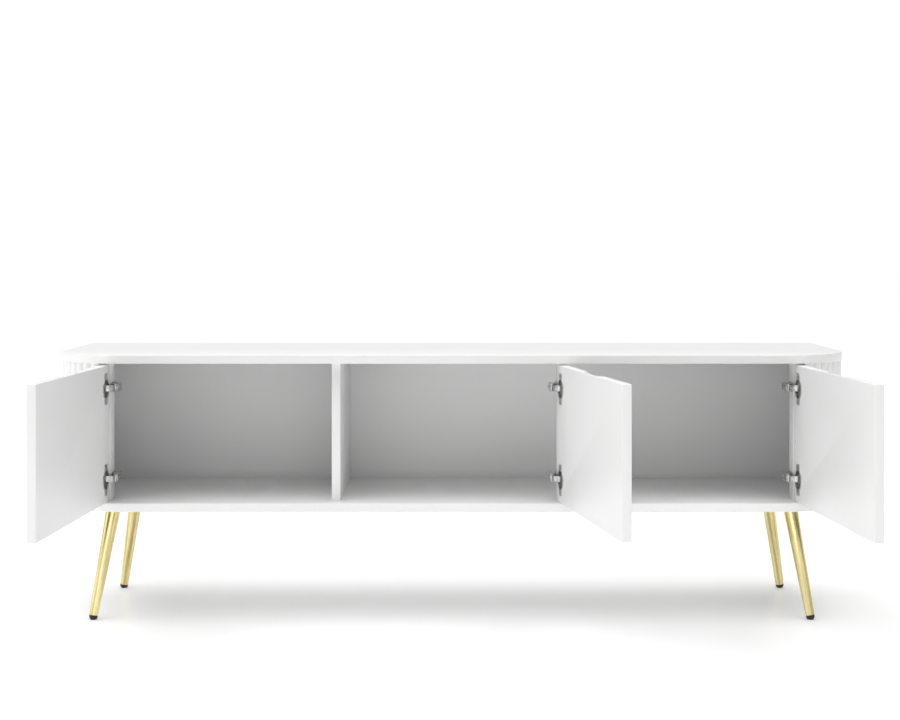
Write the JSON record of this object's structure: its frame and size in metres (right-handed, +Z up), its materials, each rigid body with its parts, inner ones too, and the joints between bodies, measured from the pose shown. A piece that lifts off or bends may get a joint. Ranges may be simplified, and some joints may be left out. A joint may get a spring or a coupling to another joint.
{
  "type": "tv stand with doors",
  "caption": "Low white television cabinet with inset doors on concealed hinges, ribbed rounded ends, open rear cable recess and splayed tapered metal legs.",
  "frame": {"origin": "on the floor, under the middle of the box that holds the cabinet with its doors open as at rest", "axes": "+X along the cabinet to the right as seen from the front, +Y from the doors to the back, +Z up"},
  "size_m": [1.5, 0.8114, 0.5],
  "materials": {
    "white_lacquer": "satin white lacquer on fibreboard",
    "back_board": "thin white-faced hardboard",
    "gold_leg": "brushed pale gold tube",
    "black_cap": "moulded black plastic",
    "nickel_hinge": "nickel-plated pressed steel",
    "zinc_fitting": "zinc-plated steel",
    "dowel_wood": "bare beech"
  },
  "bodies": {
    "cabinet": {"top_panel": "white_lacquer", "bottom_panel": "white_lacquer", "back_panel": "back_board", "side_panel_left": "white_lacquer", "side_panel_right": "white_lacquer", "ribbed_skin_left": "white_lacquer", "ribbed_skin_right": "white_lacquer", "divider": "white_lacquer", "corner_post_left": "white_lacquer", "corner_post_right": "white_lacquer", "middle_post": "white_lacquer", "panel_dowels": "dowel_wood", "case_screws": "zinc_fitting", "leg_front_left": "gold_leg", "leg_front_right": "gold_leg", "leg_rear_left": "gold_leg", "leg_rear_right": "gold_leg", "foot_cap_front_left": "black_cap", "foot_cap_front_right": "black_cap", "foot_cap_rear_left": "black_cap", "foot_cap_rear_right": "black_cap", "leg_plates": "zinc_fitting", "leg_studs": "zinc_fitting", "leg_screws": "zinc_fitting", "hinge_plates_left": "nickel_hinge", "hinge_plates_middle": "nickel_hinge", "hinge_plates_right": "nickel_hinge", "plate_screws_left": "nickel_hinge", "plate_screws_middle": "nickel_hinge", "plate_screws_right": "nickel_hinge", "hinge_arms_left": "nickel_hinge", "hinge_arms_middle": "nickel_hinge", "hinge_arms_right": "nickel_hinge", "arm_screws_left": "nickel_hinge", "arm_screws_middle": "nickel_hinge", "arm_screws_right": "nickel_hinge", "arm_pins_left": "nickel_hinge", "arm_pins_middle": "nickel_hinge", "arm_pins_right": "nickel_hinge"},
    "door_left": {"door_left": "white_lacquer", "hinge_cups_left": "nickel_hinge", "cup_screws_left": "nickel_hinge"},
    "door_middle": {"door_middle": "white_lacquer", "hinge_cups_middle": "nickel_hinge", "cup_screws_middle": "nickel_hinge"},
    "door_right": {"door_right": "white_lacquer", "hinge_cups_right": "nickel_hinge", "cup_screws_right": "nickel_hinge"},
    "links_left": {"outer_links_left": "nickel_hinge", "inner_links_left": "nickel_hinge", "link_pins_left": "nickel_hinge"},
    "links_middle": {"outer_links_middle": "nickel_hinge", "inner_links_middle": "nickel_hinge", "link_pins_middle": "nickel_hinge"},
    "links_right": {"outer_links_right": "nickel_hinge", "inner_links_right": "nickel_hinge", "link_pins_right": "nickel_hinge"}
  },
  "joints": [
    {"name": "door_left_swing", "type": "hinge", "parent": "cabinet", "child": "door_left", "pos_m": [-0.6495, 0.02274, 0.354], "axis": [0, 0, -1], "range_deg": [-93.3, 16.7]},
    {"name": "links_left_turn", "type": "hinge", "parent": "cabinet", "child": "links_left", "pos_m": [-0.626, 0.03054, 0.354], "axis": [0, 0, -1], "range_deg": [-6.23, 33.42]},
    {"name": "door_middle_swing", "type": "hinge", "parent": "cabinet", "child": "door_middle", "pos_m": [0.2095, 0.02274, 0.354], "axis": [0, 0, 1], "range_deg": [-100, 10]},
    {"name": "links_middle_turn", "type": "hinge", "parent": "cabinet", "child": "links_middle", "pos_m": [0.186, 0.03054, 0.354], "axis": [0, 0, 1], "range_deg": [-3.85, 35.8]},
    {"name": "door_right_swing", "type": "hinge", "parent": "cabinet", "child": "door_right", "pos_m": [0.6495, 0.02274, 0.354], "axis": [0, 0, 1], "range_deg": [-94.7, 15.3]},
    {"name": "links_right_turn", "type": "hinge", "parent": "cabinet", "child": "links_right", "pos_m": [0.626, 0.03054, 0.354], "axis": [0, 0, 1], "range_deg": [-5.73, 33.92]}
  ],
  "couplings": [
    {"joint": "links_left_turn", "follows": "door_left_swing", "ratio": -0.355},
    {"joint": "links_middle_turn", "follows": "door_middle_swing", "ratio": -0.355},
    {"joint": "links_right_turn", "follows": "door_right_swing", "ratio": -0.355}
  ]
}
